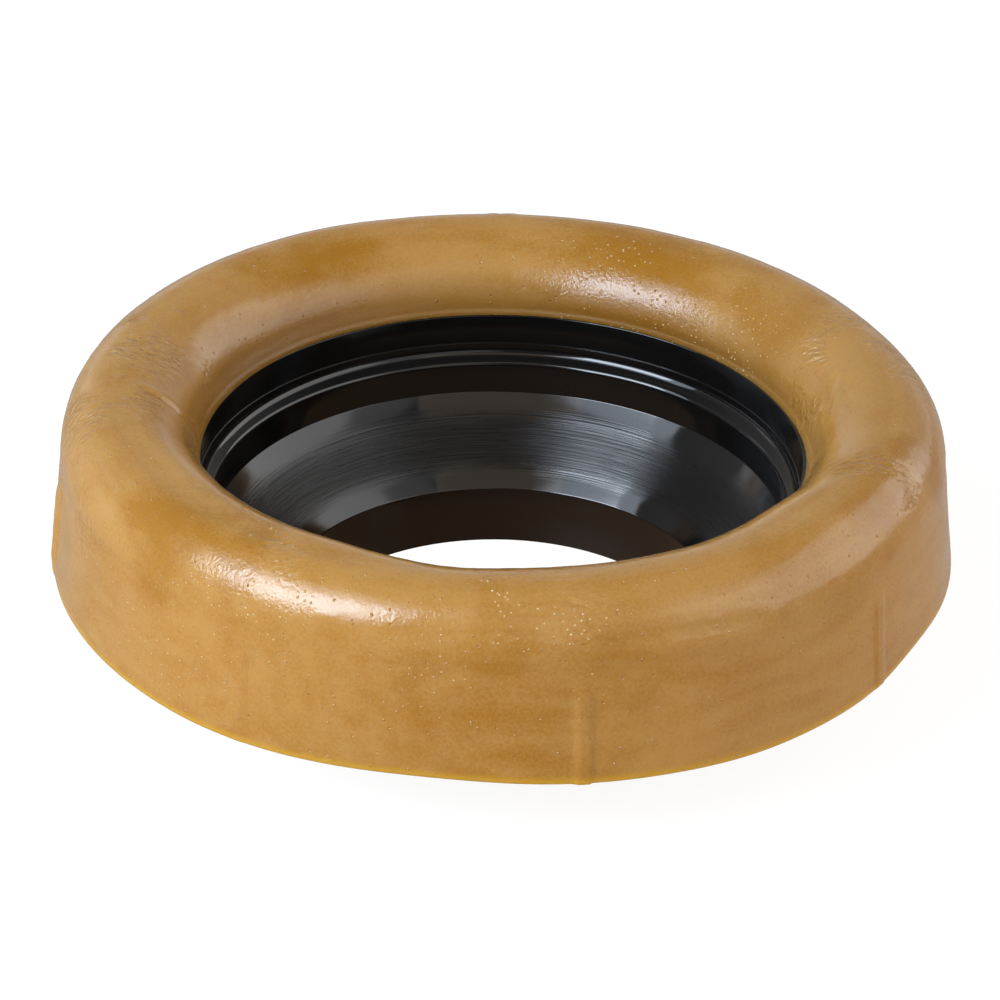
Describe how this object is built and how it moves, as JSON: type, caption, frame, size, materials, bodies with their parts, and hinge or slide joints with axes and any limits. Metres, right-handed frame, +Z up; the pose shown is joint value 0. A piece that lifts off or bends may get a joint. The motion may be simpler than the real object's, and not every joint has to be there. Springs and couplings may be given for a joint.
{
  "type": "toilet pan seal",
  "caption": "Thick round ring of golden wax with a leaning ribbed wall, cast round a black plastic horn that funnels down to a short outlet.",
  "frame": {"origin": "middle of the horn's outlet end, the lowest point of the part", "axes": "+Z up along the axis of the ring, from the outlet towards the round crest of the wax; -Y is the front"},
  "size_m": [0.1332, 0.1332, 0.0434],
  "materials": {
    "black_plastic": "smooth moulded polyethylene with a gloss",
    "wax": "golden petroleum wax, slightly see-through, with a waxy sheen, fine wrinkles and small bubbles"
  },
  "bodies": {
    "root": {"horn": "black_plastic", "wax_ring": "wax"}
  },
  "joints": []
}
